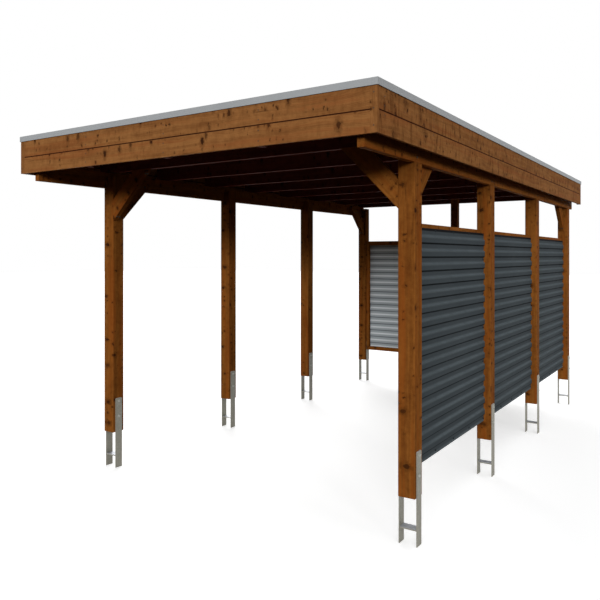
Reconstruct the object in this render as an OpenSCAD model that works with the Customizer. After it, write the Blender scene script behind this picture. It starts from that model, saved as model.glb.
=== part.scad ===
// Single carport: nine timber posts on H-anchors carry two long beams, nine rafters
// and a flat ribbed roof behind a two-board fascia. Framed ribbed-sheet walls close
// the right side and the rear.
// X runs across, -Y is the open front, and Z = 0 is the foot of the anchors.

/* [Roof outline] */
// Width of the roof over the fascia boards
roof_w = 3115; // [2600:5:3800]
// Length of the roof over the fascia boards
roof_d = 5675; // [4700:5:6900]
// Exposed height of one fascia board
board_h = 125; // [100:5:150]
// Thickness of a fascia board
board_t = 20; // [16:1:28]
// Width of the corner boards and side of the packing blocks
corner_w = 45; // [35:5:60]
// Bevel along the joint between the two boards
joint_bevel = 4; // [2:1:6]
// Height of the metal edge trim
cap_h = 40; // [30:5:60]
// Width of the trim's top flange
cap_w = 80; // [60:5:120]
// Thickness of the trim
cap_t = 2; // [1.5:0.5:3]
// From the boards to the back of the trim's leg
cap_gap = 4; // [2:1:10]

/* [Posts] */
// Side of the square posts
post_s = 115; // [90:5:140]
// Side of the thinner post in the middle of the rear wall
mid_post_s = 90; // [70:5:115]
// From the roof's side edge to the posts' outer faces
side_inset = 105; // [80:5:200]
// From the roof's front edge to the front posts
front_inset = 730; // [500:10:900]
// From the roof's rear edge to the rear posts
rear_inset = 150; // [120:1:300]
// Bevel on the long edges of the timber
arris = 3; // [1:0.5:6]

/* [Anchors] */
// Height of an H-anchor
anchor_h = 600; // [500:10:800]
// Height over which a flange clasps the post
anchor_lap = 292; // [240:1:320]
// Width of a flange
anchor_w = 70; // [50:1:90]
// Thickness of a flange
anchor_t = 6; // [4:0.5:8]
// Radius of a flange's top corners
anchor_r = 12; // [5:1:25]
// Underside of the cross plate above the feet
web_z = 100; // [60:5:160]
// Thickness of the cross plate
web_t = 8; // [5:0.5:12]

/* [Beams and rafters] */
// Underside of the beams above the anchors' feet
beam_z = 2422; // [2150:1:2850]
// Thickness of a beam
beam_t = 45; // [35:5:60]
// Height of a beam
beam_h = 135; // [115:5:180]
// From the rafters down to the top of the cheek that a post keeps inside its beam
cheek_drop = 30; // [10:5:60]
// From the roof's front edge to the beams' front ends
beam_front_gap = 55.5; // [45:0.5:80]
// From the centre of the left rear post to the end of the left beam
left_tail = 20; // [0:5:55]
// Thickness of a rafter
rafter_t = 45; // [35:5:60]
// Height of a rafter
rafter_h = 145; // [120:5:170]
// Number of rafters
rafter_n = 9; // [7:2:11]
// Underside of the fascia above the beams' underside
fascia_lift = 58; // [30:1:80]

/* [Braces] */
// Thickness of a brace
brace_t = 45; // [35:5:60]
// Width of a brace across its grain
brace_w = 130; // [90:5:150]
// Height of a brace's foot below the beams
brace_drop = 286; // [220:1:400]
// Height by which the braces under the beams lap the beams' inner sides
brace_lap = 90; // [50:5:120]

/* [Walls] */
// Underside of the walls above the anchors' feet
wall_z0 = 463; // [350:1:600]
// Top of the walls above the anchors' feet
wall_z1 = 2048; // [1700:1:2250]
// Thickness of a wall's timber frame
frame_t = 45; // [35:5:60]
// Height of a frame's top rail
top_rail_h = 57; // [40:1:80]
// Height of a frame's bottom rail
bottom_rail_h = 49; // [40:1:80]
// Width of a frame's stiles
stile_w = 45; // [35:5:70]
// Set-back of a frame from the posts' inner faces
frame_back = 12; // [5:1:30]

/* [Ribbed sheets] */
// Thickness of the sheets
sheet_t = 1; // [0.7:0.1:2]
// Strip of top rail that a wall sheet leaves bare
sheet_top_gap = 27; // [10:1:40]
// Number of ribs on a wall sheet
wall_rib_n = 16; // [10:1:20]
// Depth of a wall sheet's ribs
wall_rib_depth = 10; // [6:1:16]
// Ribs on each of the three roof sheets
roof_rib_n = 5; // [3:1:7]
// Depth of the roof sheets' ribs
roof_rib_depth = 20; // [12:1:35]
// Clearance at the ends of a sheet
sheet_gap = 2; // [1:0.5:5]

/* [Hidden] */

// roof edges
roof_x = roof_w / 2;
roof_y = roof_d / 2;
board_x = roof_x - board_t;
board_y = roof_y - board_t;

// post grid
post_x = roof_x - side_inset - post_s / 2;
post_in = post_x - post_s / 2;
post_out = post_x + post_s / 2;
first_y = -roof_y + front_inset + post_s / 2;
last_y = roof_y - rear_inset - post_s / 2;
post_gap = (last_y - first_y) / 3;
post_y = [for (i = [0:3]) first_y + i * post_gap];
bay_l = post_gap - post_s;

// levels
post_z = anchor_h - anchor_lap;
rafter_z = beam_z + beam_h;
sheet_z = rafter_z + rafter_h;
fascia_z = beam_z + fascia_lift;
joint_z = fascia_z + board_h;
cap_z = joint_z + board_h;
roof_z = cap_z + cap_h;
brace_z = beam_z - brace_drop;
upper_h = board_h + cap_h - cap_t;

// beams, let into the posts' outer sides and flush with them
beam_in = post_out - beam_t;
beam_y0 = -roof_y + beam_front_gap;

// rafters: the end ones stand one packing block behind the fascia boards
end_rafter_y = board_y - corner_w - rafter_t / 2;
rafter_gap = 2 * end_rafter_y / (rafter_n - 1);

// wall sheets
sheet_h = wall_z1 - sheet_top_gap - wall_z0;
wall_pitch = sheet_h / (wall_rib_n + 0.67);
rear_wall_w = post_in - mid_post_s / 2 - 2 * anchor_t;
roof_sheet_w = 2 * board_x / 3;
roof_sheet_y = board_y - sheet_gap;
cap_out = cap_t + cap_gap;
steel_cut = 0.3;

timber_colour = [0.42, 0.26, 0.13];
post_colour = [0.45, 0.28, 0.14];
steel_colour = [0.55, 0.56, 0.55];
trim_colour = [0.66, 0.68, 0.69];
sheet_colour = [0.25, 0.28, 0.30];

// a w by h rectangle about the origin with its corners bevelled
module bevelled(w, h, c = arris) {
    x = w / 2;
    y = h / 2;
    polygon([[-x + c, -y], [x - c, -y], [x, -y + c], [x, y - c],
             [x - c, y], [-x + c, y], [-x, y - c], [-x, -y + c]]);
}

// squared timber w wide and h high, along X, along Y and upright, each starting at the origin
module timber_x(l, w, h) {
    rotate([90, 0, 90]) linear_extrude(l) translate([0, h / 2]) bevelled(w, h);
}
module timber_y(l, w, h) {
    rotate([-90, 0, 0]) linear_extrude(l) translate([0, -h / 2]) bevelled(w, h);
}
module timber_z(l, w) {
    linear_extrude(l) bevelled(w, w);
}

// side is -1 for the left row and 1 for the right row
module post(side, row) {
    color(post_colour)
    difference() {
        translate([side * post_x, post_y[row], post_z])
            timber_z(rafter_z - cheek_drop - post_z, post_s);
        translate([side * (beam_in + beam_t), post_y[row], beam_z + beam_h])
            cube([2 * beam_t, post_s + 2, 2 * beam_h], center = true);
    }
}

module post_rear_middle() {
    color(post_colour)
    translate([0, last_y, post_z]) timber_z(sheet_z - post_z, mid_post_s);
}

// one upright flange in the YZ plane, its inner face at x = 0 and its body on +X
module flange() {
    rotate([90, 0, 90]) linear_extrude(anchor_t) {
        translate([-anchor_w / 2, 0]) square([anchor_w, anchor_h - anchor_r]);
        translate([-anchor_w / 2 + anchor_r, 0]) square([anchor_w - 2 * anchor_r, anchor_h]);
        for (s = [-1, 1])
            translate([s * (anchor_w / 2 - anchor_r), anchor_h - anchor_r]) circle(anchor_r, $fn = 48);
    }
}

module anchor(width) {
    color(steel_colour)
    union() {
        translate([width / 2, 0, 0]) flange();
        mirror([1, 0, 0]) translate([width / 2, 0, 0]) flange();
        translate([-width / 2, -anchor_w / 2, web_z]) cube([width, anchor_w, web_t]);
    }
}

module anchor_row(side) {
    for (y = post_y) translate([side * post_x, y, 0]) anchor(post_s);
}

// the right beam runs out to the rear edge, the left one stops over its last post
module beam(side) {
    y1 = side > 0 ? roof_y : last_y + left_tail;
    color(timber_colour)
    translate([side * (beam_in + beam_t / 2), beam_y0, beam_z])
        timber_y(y1 - beam_y0, beam_t, beam_h);
}

module rafters() {
    color(timber_colour)
    for (i = [0:rafter_n - 1])
        translate([-board_x, -end_rafter_y + i * rafter_gap, rafter_z])
            timber_x(2 * board_x, rafter_t, rafter_h);
}

// brace outline at 45 degrees: x is out from the post's face and y is up from the foot
module brace_outline(rise) {
    low = brace_w * sqrt(2);
    polygon([[0, 0], [rise, rise], [max(rise - low, 0), rise], [0, min(low, rise)]]);
}

module front_brace(side) {
    color(timber_colour)
    translate([side * post_in, post_y[0] - post_s / 2, brace_z])
    mirror([side > 0 ? 1 : 0, 0, 0]) rotate([90, 0, 0])
        translate([0, 0, -brace_t]) linear_extrude(brace_t) brace_outline(rafter_z - brace_z);
}

// dir is 1 behind the front post and -1 ahead of the rear post
module beam_brace(side, row, dir) {
    color(timber_colour)
    translate([side * (beam_in - brace_t / 2), post_y[row] + dir * post_s / 2, brace_z])
    mirror([0, dir < 0 ? 1 : 0, 0]) rotate([90, 0, 90]) translate([0, 0, -brace_t / 2])
        linear_extrude(brace_t) brace_outline(brace_drop + brace_lap);
}

// board outline: x is outward and y is up, bevelled along the joint with its neighbour
module board_outline(h, bevel_top) {
    b = joint_bevel;
    if (bevel_top)
        polygon([[0, 0], [board_t, 0], [board_t, h - b], [board_t - b, h], [0, h]]);
    else
        polygon([[0, 0], [board_t - b, 0], [board_t, b], [board_t, h], [0, h]]);
}

// boards along the front or rear: dir is -1 for the front and 1 for the rear
module board_across(dir, z, h, bevel_top) {
    l = roof_w - 2 * corner_w;
    color(timber_colour)
    mirror([0, dir < 0 ? 1 : 0, 0]) translate([-l / 2, board_y, z])
    rotate([90, 0, 90]) linear_extrude(l) board_outline(h, bevel_top);
}

module board_along(side, z, h, bevel_top) {
    l = 2 * board_y;
    color(timber_colour)
    mirror([side < 0 ? 1 : 0, 0, 0]) translate([board_x, l / 2, z])
    rotate([90, 0, 0]) linear_extrude(l) board_outline(h, bevel_top);
}

module fascia_front_upper() { board_across(-1, joint_z, upper_h, false); }
module fascia_front_lower() { board_across(-1, fascia_z, board_h, true); }
module fascia_rear() { board_across(1, joint_z, upper_h, false); }
module fascia_left_upper() { board_along(-1, joint_z, upper_h, false); }
module fascia_left_lower() { board_along(-1, fascia_z, board_h, true); }
module fascia_right_upper() { board_along(1, joint_z, upper_h, false); }
module fascia_right_lower() { board_along(1, fascia_z, board_h, true); }

// upright boards that close the corners, in line with the front and rear boards
module corner_boards() {
    color(timber_colour)
    for (x = [-1, 1], y = [-1, 1])
        translate([x * (roof_x - corner_w / 2), y * (roof_y - board_t / 2), fascia_z])
            linear_extrude(roof_z - cap_t - fascia_z) square([corner_w, board_t], center = true);
}

// blocks that carry the front and rear boards off the end rafters, and the rear middle post
module packing_blocks() {
    color(timber_colour)
    for (x = [-1, 0, 1] * roof_w / 4) {
        translate([x - corner_w / 2, -board_y, fascia_z])
            cube([corner_w, corner_w, sheet_z - fascia_z]);
        translate([x - corner_w / 2, board_y - corner_w, joint_z])
            cube([corner_w, corner_w, sheet_z - joint_z]);
    }
    color(timber_colour)
    translate([-mid_post_s / 2, last_y + mid_post_s / 2, rafter_z])
        cube([mid_post_s, end_rafter_y - rafter_t / 2 - last_y - mid_post_s / 2, rafter_h]);
}

// edge trim of length l along X with mitred flange: its leg is outside y = 0, its flange on +Y
module cap(l) {
    color(trim_colour)
    union() {
        translate([0, 0, cap_h - cap_t]) linear_extrude(cap_t)
            polygon([[-l / 2, 0], [l / 2, 0], [l / 2 - cap_w, cap_w], [-l / 2 + cap_w, cap_w]]);
        linear_extrude(cap_h)
            polygon([[-l / 2, 0], [l / 2, 0], [l / 2 - cap_t, cap_t], [-l / 2 + cap_t, cap_t]]);
    }
}

module cap_front() { translate([0, -roof_y - cap_out, cap_z]) cap(roof_w + 2 * cap_out); }
module cap_rear() { rotate(180) cap_front(); }
module cap_left() { rotate(-90) translate([0, -roof_x - cap_out, cap_z]) cap(roof_d + 2 * cap_out); }
module cap_right() { rotate(180) cap_left(); }

// ribbed sheet profile: x runs across the ribs, y is the depth, n ribs on a pitch, width w
function rib_path(n, pitch, w, depth, crest, flank) = concat(
    [[0, 0]],
    [for (i = [0:n - 1]) let (c = w / 2 + (i - (n - 1) / 2) * pitch)
        each [[c - crest / 2 - flank, 0], [c - crest / 2, depth],
              [c + crest / 2, depth], [c + crest / 2 + flank, 0]]],
    [[w, 0]]);

module rib_profile(n, pitch, w, depth, crest, flank) {
    path = rib_path(n, pitch, w, depth, crest, flank);
    last = len(path) - 1;
    polygon(concat(path, [for (i = [last:-1:0]) path[i] + [0, sheet_t]]));
}

module roof_sheets() {
    pitch = roof_sheet_w / roof_rib_n;
    color(trim_colour)
    for (i = [-1:1])
        translate([(i - 0.5) * roof_sheet_w + steel_cut / 2, roof_sheet_y, sheet_z])
        rotate([90, 0, 0]) linear_extrude(2 * roof_sheet_y)
            rib_profile(roof_rib_n, pitch, roof_sheet_w - steel_cut, roof_rib_depth, pitch * 0.3, pitch * 0.1);
}

// a wall frame l wide along X, its back at y = 0
module frame(l) {
    color(timber_colour)
    difference() {
        translate([0, 0, wall_z0]) cube([l, frame_t, wall_z1 - wall_z0]);
        translate([stile_w, -1, wall_z0 + bottom_rail_h])
            cube([l - 2 * stile_w, frame_t + 2, wall_z1 - top_rail_h - wall_z0 - bottom_rail_h]);
    }
}

// a wall sheet for a frame l wide, standing on the frame's outer face
module wall_sheet(l) {
    color(sheet_colour)
    translate([sheet_gap, frame_t, wall_z0]) rotate([90, 0, 90]) linear_extrude(l - 2 * sheet_gap)
        mirror([1, -1]) rib_profile(wall_rib_n, wall_pitch, sheet_h, wall_rib_depth,
            wall_pitch * 0.44, wall_pitch * 0.08);
}

// place a wall bay, with x along the wall and +Y outward; the rear bays fit between the flanges
module right_bay(i) {
    translate([post_in + frame_back, post_y[i + 1] - post_s / 2, 0]) rotate(-90) children();
}
module rear_bay(i) {
    x = i == 0 ? -post_in : mid_post_s / 2;
    translate([x + anchor_t, last_y - post_s / 2 + frame_back, 0]) children();
}

post(-1, 0);  // post_left_1
post(-1, 1);  // post_left_2
post(-1, 2);  // post_left_3
post(-1, 3);  // post_left_4
post(1, 0);  // post_right_1
post(1, 1);  // post_right_2
post(1, 2);  // post_right_3
post(1, 3);  // post_right_4
post_rear_middle();
anchor_row(-1);  // anchors_left
anchor_row(1);  // anchors_right
translate([0, last_y, 0]) anchor(mid_post_s);  // anchor_rear_middle
beam(-1);  // beam_left
beam(1);  // beam_right
rafters();
front_brace(-1);  // front_brace_left
front_brace(1);  // front_brace_right
beam_brace(-1, 0, 1);  // beam_brace_front_left
beam_brace(1, 0, 1);  // beam_brace_front_right
beam_brace(-1, 3, -1);  // beam_brace_rear_left
beam_brace(1, 3, -1);  // beam_brace_rear_right
fascia_front_upper();
fascia_front_lower();
fascia_rear();
fascia_left_upper();
fascia_left_lower();
fascia_right_upper();
fascia_right_lower();
corner_boards();
packing_blocks();
cap_front();
cap_rear();
cap_left();
cap_right();
roof_sheets();
right_bay(0) frame(bay_l);  // wall_frame_right_1
right_bay(1) frame(bay_l);  // wall_frame_right_2
right_bay(2) frame(bay_l);  // wall_frame_right_3
rear_bay(0) frame(rear_wall_w);  // wall_frame_rear_1
rear_bay(1) frame(rear_wall_w);  // wall_frame_rear_2
right_bay(0) wall_sheet(bay_l);  // wall_sheet_right_1
right_bay(1) wall_sheet(bay_l);  // wall_sheet_right_2
right_bay(2) wall_sheet(bay_l);  // wall_sheet_right_3
rear_bay(0) wall_sheet(rear_wall_w);  // wall_sheet_rear_1
rear_bay(1) wall_sheet(rear_wall_w);  // wall_sheet_rear_2
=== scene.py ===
import math
import bpy
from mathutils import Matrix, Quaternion, Vector


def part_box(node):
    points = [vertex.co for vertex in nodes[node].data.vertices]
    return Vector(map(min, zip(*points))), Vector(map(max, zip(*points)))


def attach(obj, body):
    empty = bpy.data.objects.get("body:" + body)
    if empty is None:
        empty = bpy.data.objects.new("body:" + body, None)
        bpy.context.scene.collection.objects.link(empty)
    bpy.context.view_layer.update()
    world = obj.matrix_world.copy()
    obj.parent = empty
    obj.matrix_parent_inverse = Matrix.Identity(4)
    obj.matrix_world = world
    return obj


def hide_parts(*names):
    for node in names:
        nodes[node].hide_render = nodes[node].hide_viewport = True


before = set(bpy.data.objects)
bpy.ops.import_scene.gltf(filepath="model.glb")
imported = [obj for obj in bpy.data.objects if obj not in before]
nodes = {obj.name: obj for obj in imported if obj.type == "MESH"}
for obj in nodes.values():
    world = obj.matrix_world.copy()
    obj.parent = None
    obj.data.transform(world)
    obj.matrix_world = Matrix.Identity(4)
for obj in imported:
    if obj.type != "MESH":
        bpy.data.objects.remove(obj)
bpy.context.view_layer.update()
print("frame loaded:", len(nodes), "nodes")

bpy.ops.object.select_all(action="DESELECT")
scene = bpy.context.scene
scene.view_settings.view_transform = "Standard"


cameraView = {
    "place": (3.0759, -5.8790, 1.8325),
    "turnDeg": 33.3614,
    "lens": 38.771,
    "shiftY": -0.07318,
}

cameraData = bpy.data.cameras.new("carportCamera")
cameraData.lens = cameraView["lens"]
cameraData.sensor_width = 36
cameraData.shift_y = cameraView["shiftY"]
cameraData.clip_start = 0.05
cameraData.clip_end = 300
camera = bpy.data.objects.new("carportCamera", cameraData)
camera.location = cameraView["place"]
camera.rotation_euler = (math.radians(90), 0, math.radians(cameraView["turnDeg"]))
scene.collection.objects.link(camera)
scene.camera = camera


class NodeBench:
    # a small bench for wiring one material or world
    def __init__(self, tree):
        self.tree = tree
        self.tree.nodes.clear()
        self.column = 0

    def add(self, kind, settings=None, **sockets):
        node = self.tree.nodes.new(kind)
        node.location = (self.column * 180, 0)
        self.column += 1
        for key, value in (settings or {}).items():
            setattr(node, key, value)
        for key, value in sockets.items():
            self.feed(node, key.replace("_", " "), value)
        return node

    def feed(self, node, socket, value):
        target = node.inputs[int(socket[1:])] if socket[0] == "#" else node.inputs[socket]
        if isinstance(value, bpy.types.NodeSocket):
            self.tree.links.new(value, target)
        else:
            target.default_value = value

    def math(self, operation, first, second=0.0, clamp=False):
        node = self.tree.nodes.new("ShaderNodeMath")
        node.operation = operation
        node.use_clamp = clamp
        self.feed(node, "#0", first)
        self.feed(node, "#1", second)
        return node.outputs[0]

    def plus(self, first, second, clamp=False):
        return self.math("ADD", first, second, clamp)

    def minus(self, first, second):
        return self.math("SUBTRACT", first, second)

    def times(self, first, second):
        return self.math("MULTIPLY", first, second)

    def offset(self, value, middle, weight):
        # how far a value is off its middle, times a weight
        return self.times(self.minus(value, middle), weight)

    def vector(self, operation, first, second):
        node = self.tree.nodes.new("ShaderNodeVectorMath")
        node.operation = operation
        self.feed(node, "#0", first)
        self.feed(node, "#1", second)
        return node.outputs[0]

    def span(self, value, low, high, toLow=0.0, toHigh=1.0, smooth=True):
        node = self.tree.nodes.new("ShaderNodeMapRange")
        node.interpolation_type = "SMOOTHSTEP" if smooth else "LINEAR"
        for socket, item in zip(range(5), (value, low, high, toLow, toHigh)):
            self.feed(node, "#%d" % socket, item)
        return node.outputs[0]

    def blend(self, factor, first, second, kind="MIX"):
        node = self.tree.nodes.new("ShaderNodeMix")
        node.data_type = "RGBA"
        node.blend_type = kind
        self.feed(node, "#0", factor)
        self.feed(node, "#6", first)
        self.feed(node, "#7", second)
        return node.outputs[2]

    def noise(self, vector, scale=1.0, detail=2.0, roughness=0.5):
        node = self.tree.nodes.new("ShaderNodeTexNoise")
        self.feed(node, "Vector", vector)
        node.inputs["Scale"].default_value = scale
        node.inputs["Detail"].default_value = detail
        node.inputs["Roughness"].default_value = roughness
        return node.outputs["Fac"]

    def join(self, x, y, z):
        node = self.tree.nodes.new("ShaderNodeCombineXYZ")
        for socket, item in zip("XYZ", (x, y, z)):
            self.feed(node, socket, item)
        return node.outputs[0]

    def split(self, vector):
        node = self.tree.nodes.new("ShaderNodeSeparateXYZ")
        self.feed(node, "Vector", vector)
        return node.outputs


def startMaterial(name):
    material = bpy.data.materials.new(name)
    material.use_nodes = True
    bench = NodeBench(material.node_tree)
    output = bench.add("ShaderNodeOutputMaterial")
    shader = bench.add("ShaderNodeBsdfPrincipled")
    bench.tree.links.new(shader.outputs["BSDF"], output.inputs["Surface"])
    return material, bench, shader


def colour(red, green, blue):
    return (red, green, blue, 1.0)


stage = {
    "floorSize": 120,
    "floorWhite": (0.86, 0.86, 0.86),
    "floorGlow": 0.50,       # white that the floor keeps in the shade
    "floorBounce": (0.032, 0.018, 0.010),     # what the floor gives back to the object
    "skyLow": 0.34,          # dome light at the horizon
    "skyHigh": 0.60,         # dome light overhead
    "lowTint": (1.00, 0.84, 0.64),
    "highTint": (0.96, 0.98, 1.00),
    # strength, height above the floor, turn from -Y towards +X, and softness, in degrees
    "lamps": {
        "keyLampFront": (1.15, 12, 8, 12),
        "keyLampLeft": (0.88, 12, 31, 12),
        "keyLampRight": (0.60, 12, 55, 12),
        "keyLampSide": (0.38, 12, 80, 12),
        "fillLamp": (1.9, 32, -140, 34),
    },
}

bpy.ops.mesh.primitive_plane_add(size=stage["floorSize"], location=(0, 0, 0))
floor = bpy.context.object
floor.name = "studioFloor"

floorMaterial = bpy.data.materials.new("studioFloor")
floorMaterial.use_nodes = True
bench = NodeBench(floorMaterial.node_tree)
output = bench.add("ShaderNodeOutputMaterial")
path = bench.add("ShaderNodeLightPath")
side = bench.add("ShaderNodeNewGeometry")
lit = bench.add("ShaderNodeBsdfDiffuse", Color=colour(*stage["floorWhite"]))
glow = bench.add("ShaderNodeEmission", Color=colour(1, 1, 1), Strength=stage["floorGlow"])
white = bench.add("ShaderNodeAddShader")
bench.feed(white, "#0", lit.outputs[0])
bench.feed(white, "#1", glow.outputs[0])
dull = bench.add("ShaderNodeBsdfDiffuse", Color=colour(*stage["floorBounce"]))
choose = bench.add("ShaderNodeMixShader", Fac=path.outputs["Is Diffuse Ray"])
bench.feed(choose, "#1", white.outputs[0])
bench.feed(choose, "#2", dull.outputs[0])
clear = bench.add("ShaderNodeBsdfTransparent")
under = bench.add("ShaderNodeMixShader", Fac=side.outputs["Backfacing"])
bench.feed(under, "#1", choose.outputs[0])
bench.feed(under, "#2", clear.outputs[0])
bench.tree.links.new(under.outputs[0], output.inputs["Surface"])
floor.data.materials.append(floorMaterial)

world = bpy.data.worlds.new("studioDome")
world.use_nodes = True
scene.world = world
bench = NodeBench(world.node_tree)
output = bench.add("ShaderNodeOutputWorld")
direction = bench.add("ShaderNodeTexCoord")
rise = bench.split(direction.outputs["Generated"])["Z"]
dome = bench.span(rise, 0.0, 1.0, stage["skyLow"], stage["skyHigh"], smooth=False)
dome = bench.times(dome, bench.math("GREATER_THAN", rise, 0.0))
path = bench.add("ShaderNodeLightPath")
seen = bench.plus(path.outputs["Is Camera Ray"], path.outputs["Is Glossy Ray"])
seen = bench.plus(seen, path.outputs["Is Transmission Ray"], clamp=True)
brightness = bench.add("ShaderNodeMix", {"data_type": "FLOAT"})
bench.feed(brightness, "#0", seen)
bench.feed(brightness, "#2", dome)
bench.feed(brightness, "#3", 1.0)
warmth = bench.span(rise, 0.0, 0.5)
tint = bench.blend(warmth, colour(*stage["lowTint"]), colour(*stage["highTint"]))
tint = bench.blend(seen, tint, colour(1, 1, 1))
background = bench.add("ShaderNodeBackground")
bench.feed(background, "Color", tint)
bench.feed(background, "Strength", brightness.outputs[0])
bench.tree.links.new(background.outputs[0], output.inputs["Surface"])

for name, (strength, height, turn, softness) in stage["lamps"].items():
    lampData = bpy.data.lights.new(name, "SUN")
    lampData.energy = strength
    lampData.angle = math.radians(softness)
    lamp = bpy.data.objects.new(name, lampData)
    lamp.rotation_euler = (math.radians(90 - height), 0, math.radians(turn))
    scene.collection.objects.link(lamp)
print("camera, floor and light ready")


timberTones = {
    # knots and specks are the shares of places that hold one, and the grids are
    # places per metre, across the grain and along it
    "fascia": {
        "light": (0.276, 0.120, 0.038),
        "dark": (0.142, 0.052, 0.015),
        "red": (0.232, 0.075, 0.022),
        "knots": 0.66,
        "knotGrid": (5.0, 8.8),
        "specks": 0.52,
        "speckGrid": (19.0, 30.0),
    },
    "post": {
        "light": (0.244, 0.087, 0.016),
        "dark": (0.106, 0.032, 0.006),
        "red": (0.225, 0.056, 0.008),
        "knots": 0.55,
        "knotGrid": (5.2, 7.6),
        "specks": 0.50,
        "speckGrid": (16.0, 24.0),
    },
    # painted shade: the rafters and blocks under the roof are toned much darker than the same wood
    # outside
    "roof": {
        "light": (0.118, 0.027, 0.015),
        "dark": (0.063, 0.012, 0.008),
        "red": (0.112, 0.020, 0.012),
        "knots": 0.46,
        "knotGrid": (5.2, 8.4),
        "specks": 0.50,
        "speckGrid": (19.0, 27.0),
    },
}
knotColour = (0.020, 0.006, 0.003)
# painted shade for the joint between two boards
jointShadeColour = (0.030, 0.006, 0.004)

timberGrain = {
    "knotSizes": (0.012, 0.122),     # smallest and largest, in places of the grid
    "speckSizes": (0.03, 0.25),
    # scales per metre, across the grain and along it
    "speckPatches": (5.0, 3.4),
    "slow": (3.0, 1.3),              # drift of the pith and of the stain
    "streaks": (34.0, 1.15),
    "fibres": (330.0, 9.0),
    "checks": (95.0, 5.5),           # fine cracks
    "mottle": 26.0,                  # the same both ways
    "wander": 0.085,                 # of the pith, in metres
    "ringBend": 0.012,               # round a knot
    "rings": 155.0,                  # per metre
    "lateWood": 2.4,                 # how sharply a ring darkens
    "runs": (36.0, 36.0, 9.0),       # weather runs per metre
    "broadRuns": (13.0, 13.0, 3.5),
    "jointShadeHalf": (0.0030, 0.0050),  # painted shade beside the joint of two boards
    # how far each layer darkens the wood
    "streakShade": 0.44,
    "ringShade": 0.26,
    "mottleShade": 1.15,
    "fibreShade": 0.5,
    "blotchShade": 0.9,
    "haloShade": 0.50,
    "checkShade": 0.55,
    "knotShade": 0.93,
    "roughness": (0.50, 0.68),
    "relief": 0.0012,
    "specular": 0.005,
}

# turns that bring the grain onto the Z axis
grainTurns = {
    "x": (0, -90, 0),
    "y": (90, 0, 0),
    "z": (0, 0, 0),
}


def knotLayer(bench, flatX, along, isLong, grid, share, sizes):
    # knots on a face, one at most to each place of the grid, bent out of round by noise
    spot = bench.join(flatX, along, 0.0)
    shiftX = bench.offset(bench.noise(spot, 38.0, 3.0), 0.5, 0.050)
    shiftZ = bench.offset(bench.noise(spot, 52.0, 3.0), 0.5, 0.030)
    knotPlace = bench.join(bench.times(bench.plus(flatX, shiftX), grid[0]),
                           bench.times(bench.plus(along, shiftZ), grid[1]), 0.0)
    cell = bench.add("ShaderNodeTexVoronoi", {"voronoi_dimensions": "2D", "feature": "F1"},
                     Vector=knotPlace, Scale=1.0, Randomness=1.0)
    chance = bench.split(cell.outputs["Color"])
    size = bench.span(chance["X"], 1.0 - share, 1.0, sizes[0], sizes[1], smooth=False)
    shown = bench.math("GREATER_THAN", chance["X"], 1.0 - share)
    reach = bench.math("DIVIDE", cell.outputs["Distance"], size)
    depth = bench.span(chance["Y"], 0.0, 1.0, 0.55, 1.0, smooth=False)
    inside = bench.times(bench.times(bench.span(reach, 0.70, 1.15, 1.0, 0.0), isLong), depth)
    around = bench.times(bench.span(reach, 0.9, 2.8, 1.0, 0.0), isLong)
    return bench.times(inside, shown), bench.times(around, shown)


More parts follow.
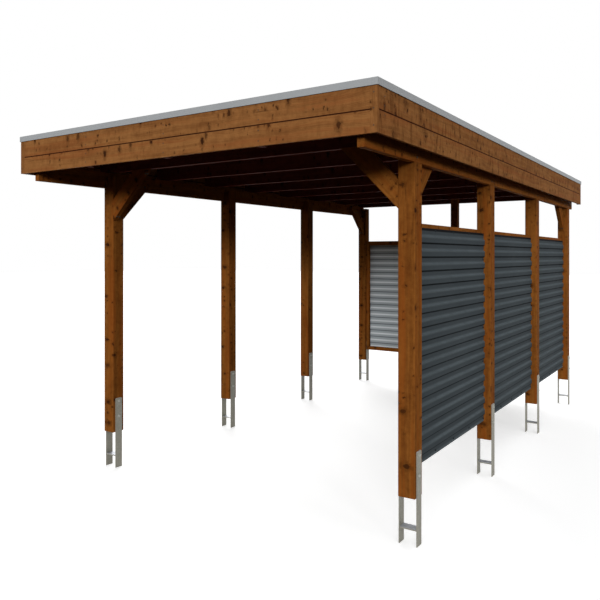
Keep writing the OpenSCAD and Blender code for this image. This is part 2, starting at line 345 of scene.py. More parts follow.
def stainedTimber(name, tone, grain, centre, seed,
                  repeat=None, turn=None, runs=0.0, groove=None, shadeFactor=1.0):
    # grain runs along one axis, with year rings round a pith beside the centre
    material, bench, shader = startMaterial(name)
    look = timberTones[tone]
    size = timberGrain

    def stained(key, share=1.0):
        # the last factor darkens every tone, as painted shade on some posts
        return colour(*[share * shadeFactor * c for c in look[key]])

    def stretched(acrossPlace, throughPlace, scales):
        wide, long = scales
        return bench.join(bench.times(acrossPlace, wide), bench.times(throughPlace, wide),
                          bench.times(along, long))

    place = bench.add("ShaderNodeTexCoord")
    shift = bench.vector("SUBTRACT", place.outputs["Object"], tuple(centre))
    lane = 0.0
    if repeat:
        axis, step = repeat
        parts = bench.split(shift)
        lane = bench.math("FLOOR", bench.plus(bench.math("DIVIDE", parts[axis], step), 0.5))
        values = [parts["X"], parts["Y"], parts["Z"]]
        values["XYZ".index(axis)] = bench.minus(parts[axis], bench.times(lane, step))
        shift = bench.join(*values)
    angles = turn or grainTurns[grain]
    turned = bench.add("ShaderNodeMapping", {"vector_type": "POINT"}, Vector=shift)
    facing = bench.add("ShaderNodeMapping", {"vector_type": "NORMAL"},
                       Vector=place.outputs["Normal"])
    for mapping in (turned, facing):
        mapping.inputs["Rotation"].default_value = [math.radians(a) for a in angles]
    across, through, along = bench.split(turned.outputs[0])
    faceX, faceY, faceZ = bench.split(facing.outputs[0])
    # each lane of a repeated piece and each seed is cut from another length of the log
    along = bench.plus(along, bench.plus(bench.times(lane, 7.31), seed * 3.17))

    # slow wander of the pith and the stain
    slow = stretched(across, through, size["slow"])
    wander = bench.noise(slow, 1.0, 2.0)
    blotch = bench.noise(slow, 2.7, 3.0)

    # the face decides which way a knot is cut
    isSide = bench.math("GREATER_THAN", bench.math("ABSOLUTE", faceX),
                        bench.math("ABSOLUTE", faceY))
    flat = bench.add("ShaderNodeMix", {"data_type": "FLOAT"})
    bench.feed(flat, "#0", isSide)
    bench.feed(flat, "#2", across)
    bench.feed(flat, "#3", bench.plus(through, 3.7))
    flatX = flat.outputs[0]
    isLong = bench.math("LESS_THAN", bench.math("ABSOLUTE", faceZ), 0.6)
    knot, halo = knotLayer(bench, flatX, along, isLong,
                           look["knotGrid"], look["knots"], size["knotSizes"])
    specks, smudge = knotLayer(bench, flatX, along, isLong,
                               look["speckGrid"], look["specks"], size["speckSizes"])
    patchX, patchZ = size["speckPatches"]
    patches = bench.noise(bench.join(bench.times(flatX, patchX), bench.times(along, patchZ), 0.0))
    specks = bench.times(specks, bench.span(patches, 0.48, 0.57))
    smudge = bench.times(smudge, bench.span(patches, 0.48, 0.57, 0.0, 0.7))
    knot = bench.math("MAXIMUM", knot, bench.times(specks, 0.85))
    halo = bench.math("MAXIMUM", halo, smudge)

    # year rings, bent round the knots; each seed moves the pith a little
    swing = bench.plus(bench.times(wander, size["wander"]), bench.times(halo, size["ringBend"]))
    pithX = 0.021 + 0.011 * math.sin(seed * 2.1)
    pithY = 0.034 + 0.013 * math.cos(seed * 1.7)
    ringX = bench.plus(bench.plus(across, pithX), swing)
    ringY = bench.plus(bench.plus(through, pithY), swing)
    radius = bench.math("SQRT", bench.plus(bench.times(ringX, ringX), bench.times(ringY, ringY)))
    rings = bench.math("FRACT", bench.times(radius, size["rings"]))
    lateWood = bench.math("POWER", rings, size["lateWood"])

    # streaks and fibres along the grain
    streakPlace = stretched(bench.plus(across, swing), bench.plus(through, swing), size["streaks"])
    streak = bench.span(bench.noise(streakPlace, 1.0, 4.0, 0.6), 0.38, 0.64)
    fibre = bench.noise(stretched(across, through, size["fibres"]), 1.0, 2.0)
    cracks = bench.noise(stretched(across, through, size["checks"]), 1.0, 1.0)
    check = bench.span(cracks, 0.70, 0.80)
    moved = bench.vector("ADD", place.outputs["Object"], (seed, 0.0, 0.0))
    mottle = bench.noise(moved, size["mottle"], 4.0, 0.68)

    shade = bench.plus(bench.times(streak, size["streakShade"]),
                       bench.times(lateWood, size["ringShade"]))
    shade = bench.plus(shade, bench.offset(mottle, 0.44, size["mottleShade"]))
    shade = bench.plus(shade, bench.offset(fibre, 0.5, size["fibreShade"]))
    shade = bench.plus(shade, bench.offset(blotch, 0.5, size["blotchShade"]), clamp=True)
    body = bench.blend(shade, stained("light"), stained("dark"))
    redPlace = bench.vector("ADD", streakPlace, (0.0, 5.0, 2.0 * seed))
    reds = bench.span(bench.noise(redPlace, 0.6, 3.0), 0.46, 0.66, 0.0, 0.55)
    body = bench.blend(reds, body, stained("red"))
    if runs:
        # dark runs of weather down the boards
        shifted = bench.vector("ADD", place.outputs["Object"], (0.0, 0.0, 1.7 * seed))
        fine = bench.noise(bench.vector("MULTIPLY", shifted, size["runs"]), 1.0, 4.0, 0.65)
        broad = bench.noise(bench.vector("MULTIPLY", shifted, size["broadRuns"]), 1.0, 3.0)
        run = bench.times(bench.span(fine, 0.47, 0.70), bench.span(broad, 0.35, 0.62, 0.35, 1.0))
        run = bench.math("MAXIMUM", run, bench.span(broad, 0.56, 0.74, 0.0, 0.7))
        body = bench.blend(bench.times(run, runs), body, stained("dark", 0.62))
    if groove:
        # painted shade in the joint between two boards
        level = bench.split(place.outputs["Object"])["Z"]
        offJoint = bench.math("ABSOLUTE", bench.minus(level, groove))
        paintedShade = bench.span(offJoint, *size["jointShadeHalf"], 0.86, 0.0)
        body = bench.blend(paintedShade, body, colour(*jointShadeColour))
    body = bench.blend(bench.times(halo, size["haloShade"]), body, stained("dark", 0.55))
    body = bench.blend(bench.times(check, size["checkShade"]), body, colour(*knotColour))
    body = bench.blend(bench.times(knot, size["knotShade"]), body, colour(*knotColour))
    bench.feed(shader, "Base Color", body)
    gloss = bench.span(fibre, 0.2, 0.8, *size["roughness"], smooth=False)
    bench.feed(shader, "Roughness", gloss)
    shader.inputs["Specular IOR Level"].default_value = size["specular"]

    relief = bench.minus(bench.times(fibre, 0.45), bench.times(check, 0.8))
    relief = bench.plus(relief, bench.times(rings, 0.30))
    bump = bench.add("ShaderNodeBump", Strength=0.35, Distance=size["relief"])
    bench.feed(bump, "Height", relief)
    bench.feed(shader, "Normal", bump.outputs[0])
    return material


def middleOf(nodeName):
    low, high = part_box(nodeName)
    return (low + high) / 2


def dress(nodeName, material):
    piece = nodes[nodeName]
    if not piece.material_slots:
        piece.data.materials.append(material)
    for slot in piece.material_slots:
        slot.material = material


# painted shade: all posts but the front right one are toned a little darker, the left ones most
postShadeFactors = {
    "left": (0.92, 0.91, 0.90, 0.92),
    "right": (1.00, 0.94, 0.95, 0.95),
}
seed = 0
for side, shadeFactors in postShadeFactors.items():
    for row, shadeFactor in enumerate(shadeFactors, 1):
        name = "post_%s_%d" % (side, row)
        dress(name, stainedTimber(name, "post", "z", middleOf(name), seed + 1, shadeFactor=shadeFactor))
        seed += 1
name = "post_rear_middle"
dress(name, stainedTimber(name, "post", "z", middleOf(name), 21))

for name in ("beam_left", "beam_right"):
    dress(name, stainedTimber(name, "post", "y", middleOf(name), 23 + len(name)))

rafterRow = {
    "count": 9,
    "thick": 0.045,
}
rafterLow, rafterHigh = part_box("rafters")
rafterStep = (rafterHigh.y - rafterLow.y - rafterRow["thick"]) / (rafterRow["count"] - 1)
rafterMiddles = [rafterLow.y + rafterRow["thick"] / 2 + number * rafterStep
                 for number in range(rafterRow["count"])]
dress("rafters", stainedTimber("rafters", "roof", "x", middleOf("rafters"), 31,
                               repeat=("Y", rafterStep)))

braceTurns = {
    "front_brace_left": (0, -45, 0),
    "front_brace_right": (0, 45, 0),
    "beam_brace_front_left": (45, 0, 0),
    "beam_brace_front_right": (45, 0, 0),
    "beam_brace_rear_left": (-45, 0, 0),
    "beam_brace_rear_right": (-45, 0, 0),
}
for number, (name, turn) in enumerate(braceTurns.items()):
    dress(name, stainedTimber(name, "post", "z", middleOf(name), 41 + number, turn=turn))

fasciaGrains = {
    "fascia_front_upper": "x",
    "fascia_front_lower": "x",
    "fascia_rear": "x",
    "fascia_left_upper": "y",
    "fascia_left_lower": "y",
    "fascia_right_upper": "y",
    "fascia_right_lower": "y",
}
# how far the weather has run down a board, by its grain
fasciaRuns = {
    "x": 0.26,
    "y": 0.85,
    "z": 0.4,
}
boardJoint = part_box("fascia_front_lower")[1].z
for number, (name, grain) in enumerate(fasciaGrains.items()):
    dress(name, stainedTimber(name, "fascia", grain, middleOf(name), 51 + 2.3 * number,
                              runs=fasciaRuns[grain], groove=boardJoint))
dress("corner_boards", stainedTimber("corner_boards", "fascia", "z", middleOf("corner_boards"), 71,
                                     runs=fasciaRuns["z"]))
dress("packing_blocks", stainedTimber("packing_blocks", "roof", "z",
                                      middleOf("packing_blocks"), 73))
print("timber dressed")


steelLook = {
    "dark": (0.182, 0.176, 0.142),
    "light": (0.302, 0.292, 0.248),
    # painted reflection, paler and bluer, on flat tops
    "reflectionDark": (0.350, 0.362, 0.392),
    "reflectionLight": (0.460, 0.474, 0.512),
    "flowers": 95.0,         # zinc crystals per metre
    "metallic": 0.35,
}


def galvanisedSteel(name):
    material, bench, shader = startMaterial(name)
    coordinates = bench.add("ShaderNodeTexCoord")
    place = coordinates.outputs["Object"]
    flower = bench.add("ShaderNodeTexVoronoi", {"feature": "F1"},
                       Vector=place, Scale=steelLook["flowers"], Randomness=1.0)
    tint = bench.split(flower.outputs["Color"])["X"]
    cloud = bench.noise(place, 14.0, 4.0)
    streaks = bench.noise(bench.vector("MULTIPLY", place, (60.0, 60.0, 4.0)), 1.0, 3.0)
    mixed = bench.plus(bench.times(tint, 0.35), bench.times(cloud, 0.45))
    mixed = bench.plus(mixed, bench.times(streaks, 0.3), clamp=True)
    body = bench.blend(mixed, colour(*steelLook["dark"]), colour(*steelLook["light"]))
    # painted reflection: flat tops are painted paler and bluer, as if they mirrored the sky
    upward = bench.math("GREATER_THAN", bench.split(coordinates.outputs["Normal"])["Z"], 0.6)
    skyReflection = bench.blend(mixed, colour(*steelLook["reflectionDark"]), colour(*steelLook["reflectionLight"]))
    body = bench.blend(upward, body, skyReflection)
    bench.feed(shader, "Base Color", body)
    shader.inputs["Metallic"].default_value = steelLook["metallic"]
    bench.feed(shader, "Roughness", bench.span(mixed, 0.0, 1.0, 0.62, 0.44, smooth=False))
    bump = bench.add("ShaderNodeBump", Strength=0.12, Distance=0.0006)
    bench.feed(bump, "Height", cloud)
    bench.feed(shader, "Normal", bump.outputs[0])
    return material


trimLook = {
    "dark": (0.262, 0.276, 0.288),
    "light": (0.352, 0.368, 0.380),
    "metallic": 0.12,
    "specular": 0.25,
}


def trimAluminium(name):
    material, bench, shader = startMaterial(name)
    place = bench.add("ShaderNodeTexCoord").outputs["Object"]
    cloud = bench.noise(place, 3.2, 4.0)
    grit = bench.noise(place, 420.0, 2.0)
    runs = bench.noise(bench.vector("MULTIPLY", place, (26.0, 26.0, 1.5)), 1.0, 3.0)
    mixed = bench.plus(bench.times(cloud, 0.5), bench.times(runs, 0.35))
    mixed = bench.plus(mixed, bench.times(grit, 0.15), clamp=True)
    body = bench.blend(mixed, colour(*trimLook["dark"]), colour(*trimLook["light"]))
    bench.feed(shader, "Base Color", body)
    shader.inputs["Metallic"].default_value = trimLook["metallic"]
    shader.inputs["Specular IOR Level"].default_value = trimLook["specular"]
    bench.feed(shader, "Roughness", bench.span(cloud, 0.2, 0.8, 0.46, 0.60, smooth=False))
    bump = bench.add("ShaderNodeBump", Strength=0.08, Distance=0.0005)
    bench.feed(bump, "Height", grit)
    bench.feed(shader, "Normal", bump.outputs[0])
    return material


wallRib = {
    "pitch": 0.09346,
    "firstRib": 0.078,       # middle of the lowest rib above the sheet's lower edge
    "flank": 0.0243,         # from a rib's middle to the middle of its flanks
    "rimStart": 0.014,       # painted shade at the rim, below the sheet's upper edge
    "rimEnd": 0.022,
}
sheetLook = {
    # dark coat outside
    "dark": (0.043, 0.053, 0.060),
    "light": (0.061, 0.074, 0.082),
    "dust": (0.078, 0.083, 0.085),
    # painted highlight on the upper flanks and painted shade under the ribs
    "ribHighlight": (0.097, 0.117, 0.129),
    "paintedShade": (0.010, 0.012, 0.013),
    # painted shade along the top of the sheet
    "rim": (0.009, 0.009, 0.010),
    # pale coat inside
    "backDark": (0.330, 0.372, 0.400),
    "backLight": (0.420, 0.465, 0.495),
    "backLit": (0.690, 0.730, 0.755),
    "backShaded": (0.150, 0.168, 0.184),
    "specular": 0.002,
}


def coatedSheet(name, outward, low, high):
    # dark coat outside and pale back coat inside; outward names the axis that faces out
    material, bench, shader = startMaterial(name)
    coordinates = bench.add("ShaderNodeTexCoord")
    place = coordinates.outputs["Object"]
    level = bench.split(place)["Z"]
    cloud = bench.noise(place, 2.4, 4.0)
    peel = bench.noise(place, 520.0, 2.0)
    dust = bench.noise(bench.vector("MULTIPLY", place, (9.0, 9.0, 2.0)), 1.0, 4.0)
    inside = bench.math("LESS_THAN", bench.split(coordinates.outputs["Normal"])[outward], 0.0)

    # height within one rib pitch, from -0.5 to 0.5 about the rib's middle
    rise = bench.minus(level, low + wallRib["firstRib"])
    count = bench.math("DIVIDE", rise, wallRib["pitch"])
    phase = bench.minus(count, bench.math("ROUND", count))
    flank = wallRib["flank"] / wallRib["pitch"]
    above = bench.math("ABSOLUTE", bench.minus(phase, flank))
    below = bench.math("ABSOLUTE", bench.plus(phase, flank))
    tones = {key: colour(*value) for key, value in sheetLook.items() if key != "specular"}

    # outside: a little dust in patches, a painted highlight on the upper flanks, varied by the dust
    # pattern, and painted shade under the ribs
    dark = bench.blend(cloud, tones["dark"], tones["light"])
    dark = bench.blend(bench.span(dust, 0.52, 0.80, 0.0, 0.10), dark, tones["dust"])
    highlightStrength = bench.span(dust, 0.2, 0.7, 0.6, 1.0)
    ribHighlight = bench.times(bench.span(above, 0.02, 0.20, 1.0, 0.0), highlightStrength)
    dark = bench.blend(ribHighlight, dark, tones["ribHighlight"])
    paintedShade = bench.span(below, 0.045, 0.085, 0.85, 0.0)
    dark = bench.blend(paintedShade, dark, tones["paintedShade"])
    # painted shade along the top of the sheet, below its upper edge
    rim = bench.span(level, high - wallRib["rimEnd"], high - wallRib["rimStart"], 0.0, 0.95)
    dark = bench.blend(rim, dark, tones["rim"])

    # inside: the same flanks face the other way, so the lower ones get a painted highlight and the
    # upper ones painted shade
    pale = bench.blend(cloud, tones["backDark"], tones["backLight"])
    pale = bench.blend(bench.span(below, 0.02, 0.22, 0.95, 0.0), pale, tones["backLit"])
    pale = bench.blend(bench.span(above, 0.03, 0.11, 0.85, 0.0), pale, tones["backShaded"])
    bench.feed(shader, "Base Color", bench.blend(inside, dark, pale))
    bench.feed(shader, "Roughness", bench.span(dust, 0.3, 0.8, 0.42, 0.56, smooth=False))
    shader.inputs["Specular IOR Level"].default_value = sheetLook["specular"]
    bump = bench.add("ShaderNodeBump", Strength=0.06, Distance=0.0004)
    bench.feed(bump, "Height", peel)
    bench.feed(shader, "Normal", bump.outputs[0])
    return material


roofLook = {
    "dark": (0.330, 0.348, 0.360),
    "light": (0.430, 0.448, 0.458),
    "dirt": (0.235, 0.230, 0.210),
    "metallic": 0.1,
    "specular": 0.2,
}


def roofSheetFinish(name):
    material, bench, shader = startMaterial(name)
    place = bench.add("ShaderNodeTexCoord").outputs["Object"]
    cloud = bench.noise(place, 1.7, 5.0)
    peel = bench.noise(place, 480.0, 2.0)
    dirt = bench.noise(bench.vector("MULTIPLY", place, (22.0, 1.2, 22.0)), 1.0, 4.0)
    body = bench.blend(cloud, colour(*roofLook["dark"]), colour(*roofLook["light"]))
    stained = bench.span(dirt, 0.50, 0.85, 0.0, 0.45)
    body = bench.blend(stained, body, colour(*roofLook["dirt"]))
    bench.feed(shader, "Base Color", body)
    shader.inputs["Metallic"].default_value = roofLook["metallic"]
    shader.inputs["Specular IOR Level"].default_value = roofLook["specular"]
    bench.feed(shader, "Roughness", bench.span(dirt, 0.3, 0.8, 0.42, 0.62, smooth=False))
    bump = bench.add("ShaderNodeBump", Strength=0.06, Distance=0.0004)
    bench.feed(bump, "Height", peel)
    bench.feed(shader, "Normal", bump.outputs[0])
    return material


steel = galvanisedSteel("galvanisedSteel")
for name in ("anchors_left", "anchors_right", "anchor_rear_middle"):
    dress(name, steel)
trim = trimAluminium("trimAluminium")
for name in ("cap_front", "cap_rear", "cap_left", "cap_right"):
    dress(name, trim)
dress("roof_sheets", roofSheetFinish("roofSheet"))
walls = {
    "right": {"bays": 3, "along": "y", "outward": "X"},
    "rear": {"bays": 2, "along": "x", "outward": "Y"},
}
for side, wall in walls.items():
    sheetLow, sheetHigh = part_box("wall_sheet_%s_1" % side)
    finish = coatedSheet("wallSheet_" + side, wall["outward"], sheetLow.z, sheetHigh.z)
    for bay in range(1, wall["bays"] + 1):
        dress("wall_sheet_%s_%d" % (side, bay), finish)
print("metal dressed")


# edit-mode helpers: every model is built along +X from the face it stands on
def leaveEdit():
    if bpy.context.mode != "OBJECT":
        bpy.ops.object.mode_set(mode="OBJECT")


def pick(piece, kind, test):
    # selects faces or edges by the places of their corners and stays in edit mode
    bpy.context.view_layer.objects.active = piece
    bpy.ops.object.mode_set(mode="EDIT")
    bpy.ops.mesh.select_mode(type=kind)
    bpy.ops.mesh.select_all(action="DESELECT")
    bpy.ops.object.mode_set(mode="OBJECT")
    corners = [vertex.co for vertex in piece.data.vertices]
    for item in piece.data.polygons if kind == "FACE" else piece.data.edges:
        item.select = test([corners[index] for index in item.vertices])
    bpy.ops.object.mode_set(mode="EDIT")


def atX(place):
    return lambda corners: all(abs(corner.x - place) < 0.00001 for corner in corners)


def drum(sides, radius, start, end):
    bpy.ops.object.select_all(action="DESELECT")
    bpy.ops.mesh.primitive_cylinder_add(vertices=sides, radius=radius, depth=end - start,
                                        location=((start + end) / 2, 0, 0),
                                        rotation=(0, math.radians(90), 0))
    bpy.ops.object.transform_apply(location=True, rotation=True, scale=True)
    return bpy.context.object


def roundRim(piece, place, width, segments=2):
    pick(piece, "EDGE", atX(place))
    bpy.ops.mesh.bevel(offset=width, segments=segments, affect="EDGES")
    leaveEdit()


def hexagon(start, height, flats, chamfer):
    # hexagon head with chamfered corners
    shoulder = start + height - 0.6 * chamfer
    piece = drum(6, flats / math.sqrt(3), start, shoulder)
    pick(piece, "FACE", atX(shoulder))
    bpy.ops.mesh.inset(thickness=chamfer)
    bpy.ops.transform.translate(value=(0.6 * chamfer, 0, 0))
    leaveEdit()
    return piece


def sinkDrive(piece, place, rim, depth):
    # the driver's recess in the end face
    pick(piece, "FACE", atX(place))
    bpy.ops.mesh.inset(thickness=rim)
    bpy.ops.mesh.extrude_region_move(TRANSFORM_OT_translate={"value": (-depth, 0, 0)})
    leaveEdit()


def merge(pieces, name):
    bpy.ops.object.select_all(action="DESELECT")
    for piece in pieces:
        piece.select_set(True)
    bpy.context.view_layer.objects.active = pieces[0]
    bpy.ops.object.join()
    merged = bpy.context.object
    merged.name = name
    merged.data.name = name
    return merged


def settle(piece, name, material):
    # smooth shading, finish and body
    bpy.ops.object.select_all(action="DESELECT")
    piece.select_set(True)
    bpy.context.view_layer.objects.active = piece
    if material:
        piece.data.materials.clear()
        piece.data.materials.append(material)
    bpy.ops.object.shade_smooth_by_angle(angle=math.radians(35))
    piece.select_set(False)
    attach(piece, "root")
    print("placed", name)


turnStep = 2.4     # radians from one fixing to the next, so that no two sit alike


def scatter(model, name, spots, material):
    # copies of the model at (place, outward direction), joined into one piece
    copies = []
    for number, (place, outward) in enumerate(spots):
        twin = model.copy()
        twin.data = model.data.copy()
        scene.collection.objects.link(twin)
        twin.rotation_mode = "QUATERNION"
        aim = Vector((1, 0, 0)).rotation_difference(Vector(outward))
        twin.rotation_quaternion = aim @ Quaternion((1, 0, 0), turnStep * number)
        twin.location = place
        copies.append(twin)
    bpy.data.objects.remove(model)
    bpy.ops.object.select_all(action="DESELECT")
    for twin in copies:
        twin.select_set(True)
    bpy.context.view_layer.objects.active = copies[0]
    bpy.ops.object.transform_apply(location=True, rotation=True, scale=True)
    piece = merge(copies, name)
    piece.rotation_mode = "XYZ"
    settle(piece, name, material)
    return piece


def fixingFinish(name, dark, light, metallic, roughness, specular=0.2):
    # plated or painted fixings, clouded and a little grimy
    material, bench, shader = startMaterial(name)
    place = bench.add("ShaderNodeTexCoord").outputs["Object"]
    cloud = bench.noise(place, 160.0, 3.0)
    grit = bench.noise(place, 1400.0, 2.0)
    bench.feed(shader, "Base Color", bench.blend(cloud, colour(*dark), colour(*light)))
    shader.inputs["Metallic"].default_value = metallic
    gloss = bench.span(cloud, 0.2, 0.8, roughness, roughness + 0.15, smooth=False)
    bench.feed(shader, "Roughness", gloss)
    shader.inputs["Specular IOR Level"].default_value = specular
    bump = bench.add("ShaderNodeBump", Strength=0.10, Distance=0.0002)
    bench.feed(bump, "Height", grit)
    bench.feed(shader, "Normal", bump.outputs[0])
    return material


# dark and light tone, metallic, roughness and specular level
zincPlate = fixingFinish("zincPlate", (0.27, 0.27, 0.245), (0.45, 0.45, 0.415), 0.45, 0.42)
dullSteel = fixingFinish("dullSteel", (0.040, 0.030, 0.022), (0.085, 0.068, 0.050),
                         0.25, 0.55, 0.05)
sheetPaint = fixingFinish("sheetPaint", (0.018, 0.022, 0.025), (0.030, 0.036, 0.040),
                          0.0, 0.60, 0.005)
roofPaint = fixingFinish("roofPaint", (0.300, 0.312, 0.322), (0.400, 0.412, 0.420), 0.2, 0.48)

# through bolts in the H-anchors
anchorBolt = {
    "heights": (0.443, 0.573),
    "flats": 0.017,
    "headHeight": 0.0066,
    "nutHeight": 0.0082,
    "chamfer": 0.0012,
    "washerRadius": 0.0125,
    "washerThick": 0.0022,
    "threadRadius": 0.005,
    "threadOut": 0.0065,     # past the nut
    "threadRim": 0.0009,
    "washerRim": 0.0005,
    "sink": 0.0002,          # into the flange, so that no gap shows
}


def washer(size):
    piece = drum(28, size["washerRadius"], -size["sink"], size["washerThick"])
    roundRim(piece, size["washerThick"], size["washerRim"])
    return piece


def boltHead(size):
    head = hexagon(size["washerThick"], size["headHeight"], size["flats"], size["chamfer"])
    return merge([head, washer(size)], "boltHead")


def boltNut(size):
    nut = hexagon(size["washerThick"], size["nutHeight"], size["flats"], size["chamfer"])
    tip = size["washerThick"] + size["nutHeight"] + size["threadOut"]
    thread = drum(20, size["threadRadius"], size["washerThick"], tip)
    roundRim(thread, tip, size["threadRim"])
    return merge([nut, thread, washer(size)], "boltNut")


headSpots = []
nutSpots = []
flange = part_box("anchors_right")[1].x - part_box("post_right_1")[1].x
anchoredPosts = ["post_%s_%d" % (side, row) for side in ("left", "right") for row in range(1, 5)]
anchoredPosts.append("post_rear_middle")
for name in anchoredPosts:
    low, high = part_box(name)
    outside = -1 if "left" in name else 1
    for height in anchorBolt["heights"]:
        for facing, spots in ((outside, headSpots), (-outside, nutSpots)):
            faceX = high.x + flange if facing > 0 else low.x - flange
            spots.append(((faceX, (low.y + high.y) / 2, height), (facing, 0, 0)))
scatter(boltHead(anchorBolt), "anchor_bolt_heads", headSpots, zincPlate)
scatter(boltNut(anchorBolt), "anchor_bolt_nuts", nutSpots, zincPlate)

# dished timber screws in the beams and braces
timberScrew = {
    "radius": 0.0085,
    "height": 0.0032,
    "rim": 0.0054,
    "edge": 0.0018,                  # rounding of the head
    "sink": 0.0004,
    "recess": 0.0016,
    "beamRise": (0.034, 0.101),      # above the beam's underside
    "beamShift": 0.022,              # to either side of the post's middle
    "braceEnd": 0.052,               # from a brace's end, along it
    "braceShift": 0.012,             # to either side of its middle
    "lapRise": 0.040,                # above the beam's underside, where a brace laps it
    "lapBack": 0.085,                # from the brace's underside, level
    "lapSpread": 0.030,
}


def dishedHead(size):
    piece = drum(24, size["radius"], -size["sink"], size["height"])
    roundRim(piece, size["height"], size["edge"], 3)
    sinkDrive(piece, size["height"], size["rim"] - size["edge"], size["recess"])
    return piece


screwSpots = []
for side, facing in (("left", -1), ("right", 1)):
    beamLow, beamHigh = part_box("beam_" + side)
    beamFace = beamHigh.x if facing > 0 else beamLow.x
    for row in range(1, 5):
        middle = middleOf("post_%s_%d" % (side, row))
        for rise, way in zip(timberScrew["beamRise"], (-1, 1)):
            y = middle.y + way * timberScrew["beamShift"]
            screwSpots.append(((beamFace, y, beamLow.z + rise), (facing, 0, 0)))
    # front brace: heads on the sloping underside near both ends
    low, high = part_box("front_brace_" + side)
    foot = high.x if facing > 0 else low.x
    tip = low.x if facing > 0 else high.x
    for way in (-1, 1):
        y = (low.y + high.y) / 2 + way * timberScrew["braceShift"]
        step = timberScrew["braceEnd"] / math.sqrt(2)
        outward = (-facing, 0, -1)
        screwSpots.append(((foot - facing * step, y, low.z + step), outward))
        screwSpots.append(((tip + facing * step, y, high.z - step), outward))
    # braces under the beams: heads on the underside at the post, and on the lap at the beam
    for part, way in (("front", 1), ("rear", -1)):
        low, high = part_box("beam_brace_%s_%s" % (part, side))
        foot = low.y if way > 0 else high.y
        inner = low.x if facing > 0 else high.x
        step = timberScrew["braceEnd"] / math.sqrt(2)
        for shift in (-1, 1):
            x = (low.x + high.x) / 2 + shift * timberScrew["braceShift"]
            screwSpots.append(((x, foot + way * step, low.z + step), (0, way, -1)))
            lapZ = beamLow.z + timberScrew["lapRise"]
            spread = shift * timberScrew["lapSpread"]
            lapY = foot + way * (lapZ - low.z - timberScrew["lapBack"] + spread)
            screwSpots.append(((inner, lapY, lapZ), (-facing, 0, 0)))
scatter(dishedHead(timberScrew), "timber_screws", screwSpots, dullSteel)

# countersunk screws in the fascia and corner boards
boardScrew = {
    "radius": 0.0045,
    "proud": 0.0003,
    "sink": 0.0020,
    "edge": 0.0003,
    "rim": 0.0026,
    "recess": 0.0014,
    "rafterRise": (0.028, 0.078, 0.128),         # above a rafter's underside
    "frontRise": (0.030, 0.092, 0.155, 0.212),   # above the fascia's lower edge
    "cornerRise": (0.040, 0.130, 0.215),
    "cornerIn": 0.0225,              # middle of a corner board, from its edge
}


def countersunkHead(size):
    piece = drum(20, size["radius"], -size["sink"], size["proud"])
    roundRim(piece, size["proud"], size["edge"], 1)
    sinkDrive(piece, size["proud"], size["rim"] - size["edge"], size["recess"])
    return piece


boardSpots = []
edgeLow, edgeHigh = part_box("corner_boards")
for facing, faceX in ((-1, edgeLow.x), (1, edgeHigh.x)):
    for y in rafterMiddles:
        for rise in boardScrew["rafterRise"]:
            boardSpots.append(((faceX, y, rafterLow.z + rise), (facing, 0, 0)))
for facing, faceY in ((-1, edgeLow.y), (1, edgeHigh.y)):
    for part in (-1, 0, 1):
        x = part * (edgeHigh.x - edgeLow.x) / 4
        for rise in boardScrew["frontRise"][0 if facing < 0 else 2:]:
            boardSpots.append(((x, faceY, edgeLow.z + rise), (0, facing, 0)))
    for x in (edgeLow.x + boardScrew["cornerIn"], edgeHigh.x - boardScrew["cornerIn"]):
        for rise in boardScrew["cornerRise"]:
            boardSpots.append(((x, faceY, edgeLow.z + rise), (0, facing, 0)))
scatter(countersunkHead(boardScrew), "board_screws", boardSpots, dullSteel)

# self-drilling screws in the ribbed sheets
sheetScrew = {
    "flats": 0.008,
    "headHeight": 0.0048,
    "chamfer": 0.0006,
    "washerRadius": 0.0075,
    "washerThick": 0.0014,
    "wallRows": (1, 4, 7, 10, 13),   # valleys, counted from the second one up
    "firstValley": 0.1247,           # above the sheet's lower edge
    "edgeRise": 0.024,               # rail screws from the sheet's lower edge
    "topDrop": 0.015,                # and from its upper edge
    "stileMiddle": 0.0205,           # from the sheet's ends
    "railScrews": 5,
    "roofPitch": 0.205,              # across the roof, from the rafters' left ends
    "roofColumns": 14,
    "sheetColumns": 5,               # every fifth column is the joint of two sheets, without screws
    "sink": 0.0002,
    "washerRim": 0.0005,
    "sheetThick": 0.001,
}


def sheetScrewModel(size):
    head = hexagon(size["washerThick"], size["headHeight"], size["flats"], size["chamfer"])
    ring = drum(14, size["washerRadius"], -size["sink"], size["washerThick"])
    roundRim(ring, size["washerThick"], size["washerRim"], 1)
    return merge([head, ring], "sheetScrew")


wallSpots = []
for side, wall in walls.items():
    for bay in range(1, wall["bays"] + 1):
        low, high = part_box("wall_sheet_%s_%d" % (side, bay))
        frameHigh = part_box("wall_frame_%s_%d" % (side, bay))[1]
        start = getattr(low, wall["along"]) + sheetScrew["stileMiddle"]
        end = getattr(high, wall["along"]) - sheetScrew["stileMiddle"]
        firstRow = low.z + sheetScrew["firstValley"]
        rows = [firstRow + wallRib["pitch"] * row for row in sheetScrew["wallRows"]]
        marks = [(spot, z) for spot in (start, end) for z in rows]
        for number in range(sheetScrew["railScrews"]):
            spot = start + (end - start) * number / (sheetScrew["railScrews"] - 1)
            marks.append((spot, low.z + sheetScrew["edgeRise"]))
            marks.append((spot, high.z - sheetScrew["topDrop"]))
        for spot, z in marks:
            if side == "right":
                wallSpots.append(((frameHigh.x + sheetScrew["sheetThick"], spot, z), (1, 0, 0)))
            else:
                wallSpots.append(((spot, frameHigh.y + sheetScrew["sheetThick"], z), (0, 1, 0)))
scatter(sheetScrewModel(sheetScrew), "wall_sheet_screws", wallSpots, sheetPaint)

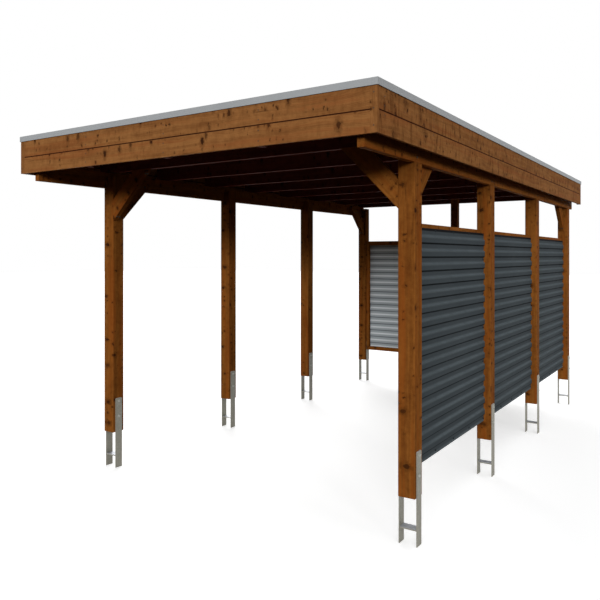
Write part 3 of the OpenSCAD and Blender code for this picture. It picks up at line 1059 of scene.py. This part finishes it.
roofSpots = []
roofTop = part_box("roof_sheets")[0].z + sheetScrew["sheetThick"]     # of the flats between the ribs
for y in rafterMiddles:
    for column in range(1, sheetScrew["roofColumns"] + 1):
        if column % sheetScrew["sheetColumns"]:
            x = rafterLow.x + column * sheetScrew["roofPitch"]
            roofSpots.append(((x, y, roofTop), (0, 0, 1)))
scatter(sheetScrewModel(sheetScrew), "roof_sheet_screws", roofSpots, roofPaint)
print("fixings placed")

# wall frames: two stiles with the rails between them
frameBoard = {
    "stile": 0.045,
    "topRail": 0.057,
    "bottomRail": 0.049,
    "arris": 0.0016,
}


def squaredBoard(low, high, material):
    bpy.ops.object.select_all(action="DESELECT")
    middle = [(a + b) / 2 for a, b in zip(low, high)]
    bpy.ops.mesh.primitive_cube_add(size=1, location=middle)
    board = bpy.context.object
    board.scale = [b - a for a, b in zip(low, high)]
    bpy.ops.object.transform_apply(location=True, rotation=True, scale=True)
    pick(board, "EDGE", lambda corners: True)
    bpy.ops.mesh.bevel(offset=frameBoard["arris"], segments=2, affect="EDGES")
    leaveEdit()
    board.data.materials.append(material)
    return board


for side, wall in walls.items():
    axis = "xyz".index(wall["along"])
    for bay in range(1, wall["bays"] + 1):
        node = "wall_frame_%s_%d" % (side, bay)
        low, high = [list(corner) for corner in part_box(node)]
        boards = []
        stileLook = stainedTimber(node + "_stiles", "post", "z", (low[0], low[1], 0), 81 + bay)
        railLook = stainedTimber(node + "_rails", "post", wall["along"], middleOf(node), 91 + bay)
        for end in (0, 1):
            near, far = list(low), list(high)
            if end:
                near[axis] = far[axis] - frameBoard["stile"]
            else:
                far[axis] = near[axis] + frameBoard["stile"]
            boards.append(squaredBoard(near, far, stileLook))
        for top in (0, 1):
            near, far = list(low), list(high)
            near[axis] += frameBoard["stile"]
            far[axis] -= frameBoard["stile"]
            if top:
                near[2] = far[2] - frameBoard["topRail"]
            else:
                far[2] = near[2] + frameBoard["bottomRail"]
            boards.append(squaredBoard(near, far, railLook))
        piece = merge(boards, node + "_boards")
        settle(piece, piece.name, None)
        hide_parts(node)
print("wall frames built")
